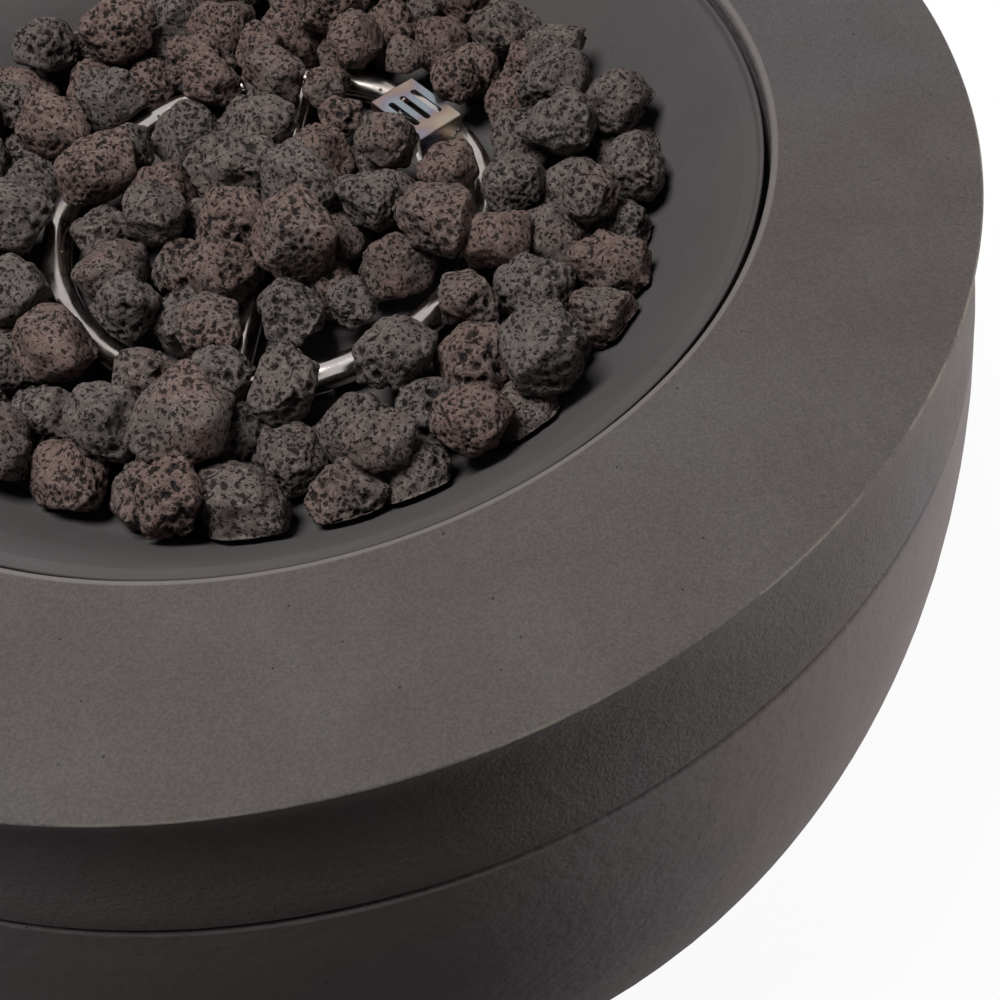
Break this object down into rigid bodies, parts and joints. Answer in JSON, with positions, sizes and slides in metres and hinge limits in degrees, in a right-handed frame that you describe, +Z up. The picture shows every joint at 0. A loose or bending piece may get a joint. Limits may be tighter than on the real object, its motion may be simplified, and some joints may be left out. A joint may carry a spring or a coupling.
{
  "type": "fire pit table",
  "caption": "Round gas fire pit table in cast stone: wide flat top, sunken fire dish with lava rock and a ring burner, controls in a niche in the bowl",
  "frame": {"origin": "on the floor under the centre of the table", "axes": "+Z up, +Y towards the control niche, -Y the side nearest the viewer in the picture"},
  "size_m": [0.7388, 0.7381, 0.48],
  "materials": {
    "aluminium_pipe": "drawn pipe",
    "battery_can": "plain can",
    "black_plastic": "satin black",
    "black_rubber": "matt black",
    "brass": "turned brass",
    "brushed_panel": "brushed panel",
    "button_plastic": "satin black",
    "cast_stone_bowl": "fine cast stone, dark grey with a mauve cast",
    "cast_stone_dish": "smooth cast stone, bluish grey",
    "cast_stone_top": "fine sandblasted cast stone, warm dark grey",
    "copper_sensor": "copper-coloured sheath",
    "galvanised_sheet": "galvanised sheet",
    "heat_tinted_stainless": "sheet with heat tint",
    "lava_rock": "porous, dark brown grey to reddish",
    "screw_steel": "plain screws",
    "silicone_wire": "red silicone",
    "spring_steel": "spring wire",
    "stainless_sheet": "brushed sheet",
    "stainless_tube": "polished tube",
    "valve_aluminium": "die cast",
    "white_ceramic": "plain white",
    "zinc_steel": "zinc plated"
  },
  "bodies": {
    "table": {"air_mixer": "zinc_steel", "base_plate": "galvanised_sheet", "base_plate_screws": "screw_steel", "bowl_shell": "cast_stone_bowl", "burner_feet": "stainless_tube", "burner_nut": "zinc_steel", "burner_ring": "stainless_tube", "burner_washer": "zinc_steel", "control_panel": "brushed_panel", "fire_dish": "cast_stone_dish", "flame_sensor": "copper_sensor", "foot_screws": "screw_steel", "gas_elbow": "brass", "gas_inlet": "brass", "gas_jet": "brass", "gas_pipe": "aluminium_pipe", "heat_shield": "galvanised_sheet", "hose_grommet": "black_rubber", "igniter_battery": "battery_can", "igniter_case": "black_plastic", "igniter_hood": "heat_tinted_stainless", "igniter_nut": "black_plastic", "igniter_spring": "spring_steel", "joint_strap_screws": "screw_steel", "joint_straps": "zinc_steel", "knob_spring": "spring_steel", "lava_rocks_back": "lava_rock", "lava_rocks_front": "lava_rock", "lava_rocks_inside_ring": "lava_rock", "lava_rocks_left": "lava_rock", "lava_rocks_right": "lava_rock", "panel_screws": "screw_steel", "pilot_plate": "stainless_sheet", "pilot_screws": "screw_steel", "rubber_foot_1": "black_rubber", "rubber_foot_2": "black_rubber", "rubber_foot_3": "black_rubber", "rubber_foot_4": "black_rubber", "sensor_lead": "copper_sensor", "shield_screws": "screw_steel", "spark_insulator": "white_ceramic", "spark_rod": "stainless_sheet", "spark_wire": "silicone_wire", "tabletop": "cast_stone_top", "valve_body": "valve_aluminium", "valve_cap": "brass", "valve_screws": "screw_steel"},
    "valve_plug": {"valve_core": "brass"},
    "knob_and_stem": {"control_knob": "black_plastic", "valve_stem": "zinc_steel"},
    "push_button": {"igniter_button": "button_plastic"}
  },
  "joints": [
    {"name": "valve_turn", "type": "hinge", "parent": "table", "child": "valve_plug", "pos_m": [-0.035, 0.31, 0.319], "axis": [0, 1, 0], "range_deg": [0, 240]},
    {"name": "knob_push", "type": "slide", "parent": "valve_plug", "child": "knob_and_stem", "axis": [0, -1, 0], "range_m": [0, 0.005], "stiffness_N_per_m": 900, "deforming": ["knob_spring"]},
    {"name": "igniter_push", "type": "slide", "parent": "table", "child": "push_button", "axis": [0, -1, 0], "range_m": [0, 0.004], "stiffness_N_per_m": 700, "deforming": ["igniter_spring"]}
  ]
}
